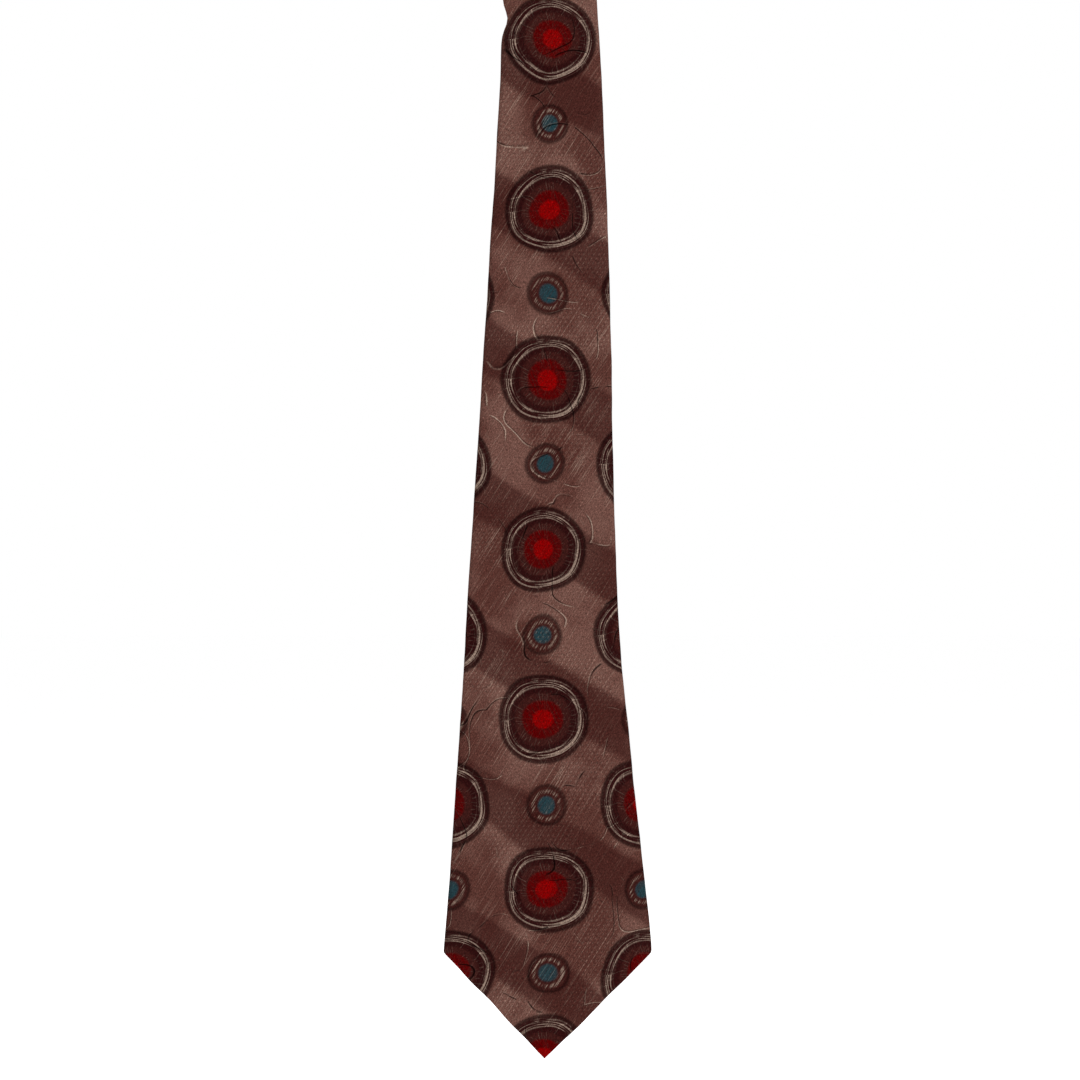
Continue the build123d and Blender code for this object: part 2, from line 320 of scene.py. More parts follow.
def seam_slant(s):
    """How far a row leans per millimetre across, so that both cloths meet in a slanting piecing seam."""
    reach = min(abs(s - FRONT_SEAM), abs(s - REAR_SEAM)) / SEAM_SLANT_REACH
    lean = SEAM_SLANT if s < TOP else -SEAM_SLANT
    return lean * (1 - float(smooth(reach)))


def folded_cloth(name, start, end, marks, uv_shift, uv_flip=1):
    """One folded piece of silk between two places on the tie."""
    vertices, uvs = [], []
    rows = rows_between(start, end, CLOTH_PITCH, marks)
    for s in rows:
        seam_distance = min(abs(s - FRONT_SEAM), abs(s - REAR_SEAM))
        dip = SEAM_DIP * math.exp(-((seam_distance / 0.8) ** 2))
        halves = []
        for side in (-1, 1):
            width = max(half_width(s) + edge_wobble(s, side), 0.02)
            x, depth = half_section(s, width, window(s))
            run = np.concatenate([[0.0], np.cumsum(np.hypot(np.diff(x), np.diff(depth)))])
            halves.append((side * x, depth, side * run))
        (left_x, left_depth, left_u), (right_x, right_depth, right_u) = halves
        across = np.concatenate([left_x[:0:-1], right_x])
        depths = np.concatenate([left_depth[:0:-1], right_depth])
        flat = np.concatenate([left_u[:0:-1], right_u])
        for x, depth, u in zip(across, depths, flat):
            along = s + seam_slant(s) * u
            shade = float(smooth(half_width(s) / 12))
            level = depth + ripple(along, x, depth) * shade - math.copysign(dip, depth)
            vertices.append(place(along, x, level))
            uvs.append((uv_flip * u + uv_shift[0], along + uv_shift[1]))
    columns = len(vertices) // len(rows)
    return make_piece(name, vertices, grid_faces(len(rows), columns), uvs)


def flat_layer(name, start, end, inset, depth_of, marks, columns=25):
    """A single layer inside the tie. depth_of gives its depth from s and x."""
    vertices, uvs = [], []
    rows = rows_between(start, end, LAYER_PITCH, marks)
    for s in rows:
        width = max(half_width(s) - inset, 0.05)
        for x in np.linspace(-width, width, columns):
            along = s + seam_slant(s) * x
            vertices.append(place(along, x, float(depth_of(s, x)) + 0.5 * ripple(along, x, -1)))
            uvs.append((x, along))
    return make_piece(name, vertices, grid_faces(len(rows), columns), uvs)


# --- Threads ---
THREAD_SIDES = 8


def tubes(name, paths, radius):
    """Round threads along paths of points in metres, all in one mesh, with tapered ends."""
    vertices, faces, uvs = [], [], []
    for path in paths:
        first = len(vertices)
        travelled = 0.0
        for i, point in enumerate(path):
            ahead = (path[min(i + 1, len(path) - 1)] - path[max(i - 1, 0)]).normalized()
            sideways = ahead.cross(Vector((0, 1, 0)))
            if sideways.length < 0.1:
                sideways = ahead.cross(Vector((1, 0, 0)))
            sideways.normalize()
            upward = sideways.cross(ahead)
            ring = radius * MM * (0.55 if i in (0, len(path) - 1) else 1.0)
            travelled += (point - path[i - 1]).length / MM if i else 0.0
            for k in range(THREAD_SIDES):
                angle = 2 * math.pi * k / THREAD_SIDES
                vertices.append(point + ring * (math.cos(angle) * sideways + math.sin(angle) * upward))
                uvs.append((angle * radius, travelled))
        for i in range(len(path) - 1):
            for k in range(THREAD_SIDES):
                a = first + i * THREAD_SIDES + k
                b = first + i * THREAD_SIDES + (k + 1) % THREAD_SIDES
                faces.append((a, b, b + THREAD_SIDES, a + THREAD_SIDES))
        last = first + (len(path) - 1) * THREAD_SIDES
        faces.append(tuple(range(first + THREAD_SIDES - 1, first - 1, -1)))
        faces.append(tuple(range(last, last + THREAD_SIDES)))
    return make_piece(name, vertices, faces, uvs)


def stitch_marks(cad_node):
    """(s, x, depth, direction in (x, s), length) of each separate stitch of a CAD node."""
    shape = bmesh.new()
    shape.from_mesh(frame["nodes"][cad_node].data)
    bmesh.ops.remove_doubles(shape, verts=shape.verts, dist=0.001 * MM)
    unseen = set(shape.verts)
    marks = []
    while unseen:
        seed = unseen.pop()
        island, edge = [seed], [seed]
        while edge:
            for link in edge.pop().link_edges:
                for vertex in link.verts:
                    if vertex in unseen:
                        unseen.discard(vertex)
                        island.append(vertex)
                        edge.append(vertex)
        marks.append(mark_of(np.array([v.co for v in island]) / MM))
    shape.free()
    return sorted(marks, key=lambda mark: (mark[0], mark[1]))


def mark_of(points):
    """The strip place, direction and length of one stitch, from its corners in millimetres."""
    x, y, z = (points.max(0) + points.min(0)) / 2
    front = y < 0
    along = points[:, 2] if front else -points[:, 2]
    flat = np.stack([points[:, 0], along], 1)
    flat = flat - flat.mean(0)
    direction = np.linalg.svd(flat, full_matrices=False)[2][0]
    length = np.ptp(flat @ direction)
    s = FRONT_DROP + z if front else FRONT_DROP + CROWN - z
    depth = (-y if front else y) - FOLD_R
    return s, x, depth, direction, length


def stitch_path(mark, base, lift, points=7):
    """A stitch that rises out of the cloth at one end and goes back in at the other."""
    s, x, _, direction, length = mark
    path = []
    for t in np.linspace(-1, 1, points):
        step = t * length / 2
        height = base + lift * (1 - t * t)
        path.append(place(s + direction[1] * step, x + direction[0] * step, -height))
    return path


def stitched(name, cad_node, radius=0.2, lift=0.24, front=True, raised=0.0):
    """Threads where a CAD node has its stitches, on the front or the rear half of the tie."""
    marks = [mark for mark in stitch_marks(cad_node) if (mark[0] < TOP) == front]
    paths = [stitch_path(m, float(half_thick(m[0], m[1])) + raised, lift) for m in marks]
    return tubes(name, paths, radius)


# --- The pieces of cloth ---
BLADE_FOOT, TAIL_FOOT = 40.8, 19.0  # about the heights of the feet of the windows
BLADE_MARKS = [BLADE_FOOT, BLADE_RISE, BLADE_WINDOW[0], FRONT_SEAM]
TAIL_MARKS = [LENGTH - TAIL_RISE, LENGTH - TAIL_FOOT, LENGTH - TAIL_WINDOW[0], REAR_SEAM]
STRIPS = {
    # part: (body, start, end, marks, shift and flip of its place on the printed cloth, joint that bends it)
    "blade": ("blade", 0.0, FRONT_SEAM, BLADE_MARKS, (0, 0), 1, "blade_swing"),
    "neck_front": ("neck", FRONT_SEAM, TOP, [FRONT_SEAM], (14, -560), -1, "blade_swing"),
    "neck_rear": ("neck", TOP, REAR_SEAM, [REAR_SEAM], (14, -560), -1, "tail_swing"),
    "tail": ("tail", REAR_SEAM, LENGTH, TAIL_MARKS, (-12, -830), 1, "tail_swing"),
}
CANVAS_THICK = 0.7
CANVAS_INSET = 2.4  # how far the canvas lies inside the tie's edges
CANVAS_END = 5.0  # how far it stops short of the points
LINING_THICK = 0.22
LINING_INSET = 2.6
LINING_END = 4.0
LINING_COLUMNS = 41

for part, (_, start, end, marks, shift, flip, _) in STRIPS.items():
    finish_layer(folded_cloth(f"{part}_cloth", start, end, marks, shift, flip), CLOTH)


def canvas_depth(s, x):
    """The canvas lies in the middle of the tie's thickness."""
    return 0.0


for part, (_, start, end, marks, _, _, _) in STRIPS.items():
    start, end = max(start, CANVAS_END), min(end, LENGTH - CANVAS_END)
    layer = flat_layer(f"{part}_canvas", start, end, CANVAS_INSET, canvas_depth, marks)
    finish_layer(layer, CANVAS_THICK)


def lining_depth(s, x):
    """The lining lies just inside the back flaps."""
    return 0.5 - half_thick(s, x)


LININGS = {
    "blade_lining": (LINING_END, BLADE_WINDOW[0] + LINING_TOP, BLADE_MARKS[:3]),
    "tail_lining": (LENGTH - TAIL_WINDOW[0] - LINING_TOP, LENGTH - LINING_END, TAIL_MARKS[:3]),
}
for name, (start, end, marks) in LININGS.items():
    layer = flat_layer(name, start, end, LINING_INSET, lining_depth, marks, LINING_COLUMNS)
    finish_layer(layer, LINING_THICK)


# --- Stitches ---
BENT_THREADS = {
    # piece: (CAD node that it stands for, joint that bends it)
    "blade_slip_thread": ("blade_slip_stitches", "blade_swing"),
    "tail_slip_thread": ("tail_slip_stitches", "tail_swing"),
    "neck_front_slip_thread": ("neck_slip_stitches", "blade_swing"),
    "neck_rear_slip_thread": ("neck_slip_stitches", "tail_swing"),
    "front_piecing_thread": ("front_seam_thread", "blade_swing"),
    "rear_piecing_thread": ("rear_seam_thread", "tail_swing"),
}
for name, (cad_node, joint_name) in BENT_THREADS.items():
    if "slip" in name:
        stitched(name, cad_node, front=joint_name == "blade_swing")

HEM_REACH = 0.9  # half length of a hem stitch
HEM_R, TACK_R, PIECING_R, TAG_R = 0.15, 0.22, 0.12, 0.14  # radii of the threads
TACK_WRAPS = 17


def hem_threads(name, cad_node):
    """Small slanting stitches from the hem's inner edge on to the lining."""
    paths = []
    for s, x, _, direction, _ in stitch_marks(cad_node):
        _, rise, half, _ = nearest_point(s)
        side = math.copysign(1, x)
        inward = Vector((-side * rise, half if s < TOP else -half)).normalized()
        centre_x = x + inward.x * (HEM * 0.3)
        centre_s = s + inward.y * (HEM * 0.3)
        lean = Vector((inward.x + 0.6 * direction[0], inward.y + 0.6 * direction[1])).normalized()
        path = []
        for t in np.linspace(-1, 1, 7):
            px, ps = centre_x + lean.x * t * HEM_REACH, centre_s + lean.y * t * HEM_REACH
            base = float(half_thick(ps, px)) - (0.28 if t > 0.2 else 0.0)
            path.append(place(ps, px, -base - 0.25 * (1 - t * t) - 0.02))
        paths.append(path)
    tubes(name, paths, HEM_R)


def bar_tack(name, cad_node):
    """A row of upright wraps side by side over a bar of thread across the seam."""
    s, x, _, _, length = stitch_marks(cad_node)[0]
    base = float(half_thick(s, x))
    paths = []
    for i in range(TACK_WRAPS):
        px = x + (i / (TACK_WRAPS - 1) - 0.5) * (length - 1.0)
        reach = 0.72 + 0.06 * math.sin(5.0 * i)
        path = []
        for t in np.linspace(-1, 1, 9):
            height = 0.1 + 0.55 * math.sqrt(max(1 - t * t, 0))
            path.append(place(s + reach * t, px + 0.1 * t, -base - height))
        paths.append(path)
    paths.append([place(s, x + t * length / 2, -base - 0.25) for t in np.linspace(-1, 1, 9)])
    tubes(name, paths, TACK_R)


for part in ("blade", "tail"):
    hem_threads(f"{part}_hem_thread", f"{part}_hem_stitches")
for part in ("blade", "tail"):
    bar_tack(f"{part}_tack_thread", f"{part}_bar_tack")

PIECING_PITCH = 2.2
PIECING_HALF = 0.8  # half length of one run


def piecing_thread(name, seam):
    """The hidden lockstitch of a piecing seam: short runs just inside both layers of cloth."""
    paths = []
    lean = seam_slant(seam)
    for layer in (-1, 1):
        for x in np.arange(-NECK_HALF + 3.5, NECK_HALF - 3.4, PIECING_PITCH):
            u = x if layer > 0 else math.copysign(2 * NECK_HALF, x) - x
            depth = layer * (HALF_THICK - 0.62)
            run = (-PIECING_HALF, 0, PIECING_HALF)
            paths.append([place(seam + lean * (u + layer * t), x + t, depth) for t in run])
    tubes(name, paths, PIECING_R)


piecing_thread("front_piecing_thread", FRONT_SEAM)
piecing_thread("rear_piecing_thread", REAR_SEAM)


# --- Labels and keeper ---
LABEL_THICK, TURNED_THICK, TAG_THICK = 0.3, 0.2, 0.16
LABEL_SLACK = 0.75  # how far the label's middle stands off
TURNED_COLUMNS = 5
KEEPER_THICK = 0.36  # half thickness of the doubled strip


def cad_span(cad_node):
    """(lowest s, highest s, lowest x, highest x) of a node on the back of the blade."""
    low, high = box_mm(cad_node)
    return low.z + FRONT_DROP, high.z + FRONT_DROP, low.x, high.x


def maker_label():
    """A blank woven label whose two ends are folded under and sewn down, with a little slack between."""
    low_s, high_s, low_x, high_x = cad_span("maker_label")
    vertices, uvs = [], []
    columns = list(np.linspace(low_x, high_x, 55))
    rows = list(np.linspace(low_s, high_s, 27))
    for s in rows:
        for x in columns:
            end = min(x - low_x, high_x - x)
            slack = LABEL_SLACK * float(smooth(end / 16)) * (1 + 0.3 * noise.noise((x / 12, s / 9, 2.0)))
            folded = 0.22 * (1 - float(smooth((end - 4.2) / 0.8)))
            curl = 0.15 * float(smooth(1 - min(s - low_s, high_s - s) / 2.5))
            depth = -float(half_thick(s, x)) - 0.42 - slack - folded - curl
            vertices.append(place(s, x, depth))
            uvs.append((x - low_x, s - low_s))
    piece = make_piece("label_cloth", vertices, grid_faces(len(rows), len(columns)), uvs)
    fold_vertices, fold_uvs = [], []
    for side_x, inward in ((low_x, 1), (high_x, -1)):
        for s in rows:
            for step in np.linspace(0, 1, TURNED_COLUMNS):
                x = side_x + inward * (0.1 + 4.4 * step)
                fold_vertices.append(place(s, x, -float(half_thick(s, x)) - 0.27))
                fold_uvs.append((x - low_x, s - low_s))
    count = len(rows) * TURNED_COLUMNS
    quads = grid_faces(len(rows), TURNED_COLUMNS)
    faces = quads + [tuple(v + count for v in quad) for quad in quads]
    turned = make_piece("label_turned_ends", fold_vertices, faces, fold_uvs)
    thicken(piece, LABEL_THICK)
    thicken(turned, TURNED_THICK)


maker_label()
stitched("label_thread", "label_stitches", radius=0.16, lift=0.3, raised=0.6)


def keeper():
    """The keeper: a narrow strip of the same silk, folded double, that arches between two sewn feet."""
    low_s, high_s, _, high_x = cad_span("keeper_loop")
    low, high = box_mm("keeper_loop")
    rise = high.y - low.y - 0.5
    middle_s, half_s = (low_s + high_s) / 2, (high_s - low_s) / 2
    length_points, around = 61, 20
    vertices, uvs, faces = [], [], []
    travelled = 0.0
    before = None
    for i in range(length_points):
        t = -1 + 2 * i / (length_points - 1)
        x = high_x * math.copysign(abs(t) ** 0.85, t)
        arch = float(smooth((high_x - 5.0 - abs(x)) / 11.0))
        sag = 0.35 * (1 - (x / high_x) ** 2)
        base = float(half_thick(middle_s, x)) + CLOTH / 2 + 0.5
        centre = base + (rise - 0.9) * arch - sag * arch
        if before:
            travelled += math.hypot(x - before[0], centre - before[1])
        before = (x, centre)
        for k in range(around):
            angle = 2 * math.pi * k / around
            flat = math.copysign(abs(math.cos(angle)) ** 0.35, math.cos(angle))
            thin = math.copysign(abs(math.sin(angle)) ** 0.8, math.sin(angle))
            narrow = half_s * (0.985 - 0.03 * arch)
            s = middle_s + narrow * flat
            depth = centre + KEEPER_THICK * thin + 0.12 * noise.noise((x / 8, s / 6, 3.0)) * arch
            vertices.append(place(s, x, -depth))
            uvs.append((travelled - 30, 395 + narrow * (1 if thin > 0 else -1) * (flat - 1)))
    for i in range(length_points - 1):
        for k in range(around):
            a, b = i * around + k, i * around + (k + 1) % around
            faces.append((a, a + around, b + around, b))
    last = (length_points - 1) * around
    faces.append(tuple(range(around)))
    faces.append(tuple(range(last + around - 1, last - 1, -1)))
    piece = make_piece("keeper_cloth", vertices, faces, uvs)
    heights = [vertex.co.z for vertex in piece.data.vertices]
    return max(heights) - min(heights), travelled * MM


keeper_flat = keeper()
stitched("keeper_thread", "keeper_stitches", radius=0.18, lift=0.3, raised=1.05)


def care_tag():
    """A blank tape tag that hangs from its sewn top edge, with a fold there and a slight curl below."""
    low, high = box_mm("care_label")
    axis_y = (low.y + high.y) / 2
    bead = (high.y - low.y) / 2
    axis_z = high.z - bead
    profile = [(0.28 * math.cos(a), 0.28 * math.sin(a)) for a in np.linspace(-math.pi * 0.5, math.pi, 12)]
    profile += [(-0.28, -0.4), (-0.2, -0.9), (-0.08, -1.6)]
    drop = axis_z - low.z
    profile += [(0.55 * (t**3) - 0.05, -1.6 - (drop - 1.6) * t) for t in np.linspace(0.04, 1, 22)]
    columns = 17
    vertices, uvs = [], []
    run = 0.0
    for i, (y, z) in enumerate(profile):
        if i:
            run += math.hypot(y - profile[i - 1][0], z - profile[i - 1][1])
        for x in np.linspace(low.x + 0.15, high.x - 0.15, columns):
            wave = 0.12 * noise.noise((x / 5, z / 7, 8.0)) * min(-min(z, 0) / 6, 1)
            vertices.append(Vector((x + sway(axis_z + FRONT_DROP), axis_y + y + wave, axis_z + z)) * MM)
            uvs.append((x - low.x, run))
    piece = make_piece("care_tag", vertices, grid_faces(len(profile), columns), uvs)
    thicken(piece, TAG_THICK)


def tag_threads():
    """Upright stitches from the flap down to the tag's folded edge."""
    _, high = box_mm("care_label")
    edge_s = high.z + FRONT_DROP
    paths = []
    for s, x, _, _, length in stitch_marks("care_label_stitches"):
        top_s = s + length / 2
        base = float(half_thick(s, x)) + CLOTH / 2
        points = [(top_s, 0.0), (top_s - 0.3, 0.22), (s, 0.3)]
        points += [(edge_s + 0.7, 0.32), (edge_s + 0.2, 0.5), (edge_s, 0.72)]
        paths.append([place(along, x, -base - height) for along, height in points])
    tubes("tag_thread", paths, TAG_R)


care_tag()
tag_threads()


# --- Node helpers ---
def feed(made, inputs):
    """Sets a node's sockets to values, or links them to other nodes' outputs."""
    for key, value in inputs.items():
        if isinstance(value, bpy.types.NodeSocket):
            made.id_data.links.new(value, made.inputs[key])
        else:
            made.inputs[key].default_value = value


def node(kind, inputs=None, tree=None, **settings):
    """Adds a shader node to a tree, which is that of its inputs if none is given, and feeds its sockets."""
    inputs = inputs or {}
    tree = tree or next(v.id_data for v in inputs.values() if isinstance(v, bpy.types.NodeSocket))
    made = tree.nodes.new("ShaderNode" + kind)
    for key, value in settings.items():
        setattr(made, key, value)
    feed(made, inputs)
    return made


def calc(operation, *values, clamp=False):
    """A Math node's result."""
    inputs = dict(enumerate(values))
    return node("Math", inputs, operation=operation, use_clamp=clamp).outputs[0]


def times(a, b):
    """a times b."""
    return calc("MULTIPLY", a, b)


def plus(a, b):
    """a plus b."""
    return calc("ADD", a, b)


def vector(operation, *values):
    """A Vector Math node's result."""
    made = node("VectorMath", dict(enumerate(values)), operation=operation)
    return made.outputs["Value" if operation == "LENGTH" else "Vector"]


def split(place_on_cloth):
    """(across, along) of a place on the cloth."""
    return node("SeparateXYZ", {0: place_on_cloth}).outputs[:2]


def joined(across, along):
    """The place on the cloth that has these coordinates."""
    return node("CombineXYZ", {0: across, 1: along}).outputs[0]


def wave(place_on_cloth, scale, distortion, direction, **more):
    """Parallel bands from 0 to 1 and back."""
    inputs = {"Vector": place_on_cloth, "Scale": scale, "Distortion": distortion, **more}
    return node("TexWave", inputs, bands_direction=direction).outputs["Fac"]


def distance(value, middle):
    """How far value lies from middle."""
    return calc("ABSOLUTE", calc("SUBTRACT", value, middle))


def ramp(value, low, high, to_low=0.0, to_high=1.0):
    """value taken smoothly from low..high to to_low..to_high."""
    inputs = {"Value": value, "From Min": low, "From Max": high, "To Min": to_low, "To Max": to_high}
    return node("MapRange", inputs, interpolation_type="SMOOTHSTEP").outputs[0]


def mix(factor, below, above):
    """Two colours mixed by factor."""
    return node("Mix", {0: factor, 6: below, 7: above}, data_type="RGBA").outputs[2]


def mapped(vector, centre=(0, 0), tilt=0.0, scale=(1, 1)):
    """vector seen from centre, along axes turned by tilt degrees and counted in steps of scale."""
    inputs = {
        "Vector": vector,
        "Location": (centre[0], centre[1], 0),
        "Rotation": (0, 0, math.radians(tilt)),
        "Scale": (scale[0], scale[1], 1),
    }
    return node("Mapping", inputs, vector_type="TEXTURE").outputs[0]


def noise_at(vector, scale=1.0, detail=2.0, rough=0.5):
    """A flat noise between about 0.2 and 0.8."""
    inputs = {"Vector": vector, "Scale": scale, "Detail": detail, "Roughness": rough}
    return node("TexNoise", inputs, noise_dimensions="2D").outputs[0]


def linear(red, green, blue):
    """A colour given as 0 to 255 display values, as the shader wants it."""
    def channel(value):
        value = value / 255
        return value / 12.92 if value <= 0.04045 else ((value + 0.055) / 1.055) ** 2.4
    return (channel(red), channel(green), channel(blue), 1.0)


def new_material(name):
    """An empty material: it, its shader and the flat cloth coordinates in millimetres."""
    material = bpy.data.materials.new(name)
    material.use_nodes = True
    tree = material.node_tree
    tree.nodes.clear()
    shader = node("BsdfPrincipled", tree=tree)
    node("OutputMaterial", {"Surface": shader.outputs[0]})
    uv = node("UVMap", tree=tree, uv_map="cloth").outputs[0]
    return material, shader, uv


def bump(height, depth, strength=1.0):
    """Relief from height. depth is in millimetres."""
    inputs = {"Strength": strength, "Distance": depth * MM, "Height": height}
    return node("Bump", inputs).outputs[0]


# --- The print ---
BLACK = linear(17, 2, 3)
PLUM = linear(41, 12, 12)
UMBER = linear(56, 24, 21)
BROWN = linear(78, 45, 39)
TAUPE = linear(102, 70, 62)
PALE_TAUPE = linear(130, 100, 89)
SAND = linear(162, 140, 125)
DARK_RED = linear(76, 1, 2)
RED = linear(122, 0, 1)
DEEP_TEAL = linear(30, 56, 62)

# The print is a plain half-drop repeat of large and small rounds over slanting stripes: every other column
# lies half a repeat lower. It follows no picture. Only its colours and brushwork are like the photograph's.
REPEAT_ACROSS, REPEAT_ALONG = 46.0, 80.0
STRIPE_STEP, STRIPE_TILT = 30.0, -32
LARGE_RING = 17.0
ROUND_SOFT = 1.5  # how far an outline of the print fades
LARGE = [
    # (radius, width of a ring or None for a disc, colour, cover, grain, whether grain breaks it into lines)
    (21.0, None, BLACK, 0.8, None, False),
    (19.5, None, PLUM, 0.95, "fall", False),
    (LARGE_RING, 3.4, SAND, 0.6, "round", True),
    (12.5, None, UMBER, 0.9, "rise", False),
    (9.0, None, DARK_RED, 0.95, "fall", False),
    (4.5, None, RED, 0.95, "rise", False),
]
SMALL = [
    (9.5, None, BLACK, 0.7, None, False),
    (8.0, None, UMBER, 0.95, "fall", False),
    (6.2, 1.2, SAND, 0.5, "rise", True),
    (4.0, None, DEEP_TEAL, 0.95, "rise", False),
]

GRAIN_STEP = 0.55  # width of one bristle mark
GRAIN_LENGTH = 26.0
RISE_TILT, FALL_TILT = 58, -66  # the two slants of the bristle marks; the weave slants with the first


def straight_grain(uv, tilt):
    """Bristle marks along lines at tilt degrees."""
    stretched = mapped(uv, tilt=tilt, scale=(GRAIN_LENGTH, GRAIN_STEP))
    return noise_at(stretched, detail=3.0, rough=0.6)


def polar(place_on_cloth):
    """(angle, distance) of a place as seen from the origin."""
    across, along = split(place_on_cloth)
    return calc("ARCTAN2", along, across), vector("LENGTH", place_on_cloth)


def round_grain(place_on_cloth, radius):
    """Bristle marks that run round the origin."""
    angle, away = polar(place_on_cloth)
    along = times(angle, radius / GRAIN_LENGTH)
    across = calc("DIVIDE", away, GRAIN_STEP * 1.6)
    return noise_at(joined(along, across), detail=3.0, rough=0.6)


def disc_mask(place_on_cloth, radius, soft):
    """1 inside a disc round the origin, 0 outside. The gradient is 1 at the centre and 0.5 on the outline."""
    seen = mapped(place_on_cloth, scale=(2 * radius, 2 * radius))
    inward = node("TexGradient", {"Vector": seen}, gradient_type="SPHERICAL").outputs[1]
    edge = soft / radius / 4
    return ramp(inward, 0.5 - edge, 0.5 + edge)


def ring_mask(place_on_cloth, radius, width, soft):
    """1 inside a ring round the origin, 0 outside."""
    off = distance(vector("LENGTH", place_on_cloth), radius)
    return ramp(off, (width + soft) / 2, (width - soft) / 2)


def wandered(uv, scale, reach):
    """Places on the cloth moved about by a broad noise, so that nothing drawn on them is quite regular."""
    broad = node("TexNoise", {"Vector": uv, "Scale": scale, "Detail": 1.0}, noise_dimensions="2D")
    shift = vector("SUBTRACT", broad.outputs["Color"], (0.5, 0.5, 0.5))
    return vector("ADD", uv, vector("MULTIPLY", shift, (reach, reach, 0)))


def repeat_place(place_on_cloth, along_shift):
    """The place within its repeat, measured from the repeat's middle."""
    across, along = split(place_on_cloth)
    column = calc("ROUND", calc("DIVIDE", across, REPEAT_ACROSS))
    along = plus(calc("MULTIPLY_ADD", column, REPEAT_ALONG / 2, along), along_shift)
    along = calc("WRAP", along, REPEAT_ALONG / 2, -REPEAT_ALONG / 2)
    return joined(calc("WRAP", across, REPEAT_ACROSS / 2, -REPEAT_ACROSS / 2), along)


def print_colour(uv):
    """The colour of the print, its rising bristle marks, and the place within the repeat of large rounds."""
    loose = wandered(uv, 0.028, 5)
    large, small = repeat_place(loose, 0.0), repeat_place(loose, REPEAT_ALONG / 2)
    grains = {"rise": straight_grain(uv, RISE_TILT), "fall": straight_grain(uv, FALL_TILT)}
    grains["round"] = round_grain(large, LARGE_RING)
    colour = mix(ramp(noise_at(uv, scale=0.03, detail=3.0), 0.38, 0.68), BROWN, TAUPE)
    colour = mix(ramp(grains["rise"], 0.5, 0.75, 0.0, 0.4), colour, PALE_TAUPE)
    _, slanting = split(mapped(loose, tilt=STRIPE_TILT))
    stripe = calc("PINGPONG", slanting, STRIPE_STEP)
    colour = mix(ramp(stripe, 17.0, 21.0, 0.0, 0.7), colour, UMBER)

    for here, strokes in ((large, LARGE), (small, SMALL)):
        for radius, width, paint, cover, grain, lines in strokes:
            if width:
                mask = ring_mask(here, radius, width, ROUND_SOFT)
            else:
                mask = disc_mask(here, radius, ROUND_SOFT)
            if grain:
                limits = (0.47, 0.62) if lines else (0.3, 0.62, 0.6, 1.12)
                mask = times(mask, ramp(grains[grain], *limits))
            colour = mix(calc("MULTIPLY", mask, cover, clamp=True), colour, paint)
    return colour, grains["rise"], large


DOT_PITCH = 2.5


def dot_field(uv):
    """Short slanting dashes in staggered rows, 1 on a dash and 0 between."""
    seen = mapped(uv, tilt=RISE_TILT, scale=(DOT_PITCH, DOT_PITCH * 0.8))
    along, across = split(seen)
    row = calc("FLOOR", across)
    along = calc("FRACT", plus(along, times(row, 0.5)))
    across = calc("FRACT", across)
    near_along = times(distance(along, 0.5), 1.1)
    near_across = times(distance(across, 0.5), 2.4)
    squares = [calc("POWER", near, 2.0) for near in (near_along, near_across)]
    away = calc("SQRT", plus(*squares))
    return ramp(away, 0.42, 0.16)


def scallops(uv, size, reach):
    """Signed distance from thin scalloped lines, in millimetres: arcs that meet in cusps."""
    inputs = {"Vector": wandered(uv, 0.03, 24), "Scale": 1 / size, "Randomness": 1.0}
    cells = node("TexVoronoi", inputs, voronoi_dimensions="2D", feature="F1").outputs["Distance"]
    return times(calc("SUBTRACT", cells, reach), size)


TICK_PITCH = 2.3
TICKS_R, TICKS_SOFT = 19.0, 14.0  # the disc that ticks fill, and how far they fade out


def tick_field(place_on_cloth):
    """Short ticks that point to the origin, broken up so that no two are alike."""
    angle, away = polar(place_on_cloth)
    turns = times(angle, LARGE_RING / TICK_PITCH)
    lean = times(noise_at(place_on_cloth, scale=0.12, detail=1.0), 3.0)
    turns = plus(turns, lean)
    off = distance(calc("FRACT", turns), 0.5)
    number = times(calc("FLOOR", turns), 7.31)
    spot = joined(calc("DIVIDE", away, 4.2), number)
    present = ramp(noise_at(spot, detail=1.0), 0.5, 0.58)
    tick = times(ramp(off, 0.13, 0.04), present)
    return times(tick, disc_mask(place_on_cloth, TICKS_R, TICKS_SOFT))


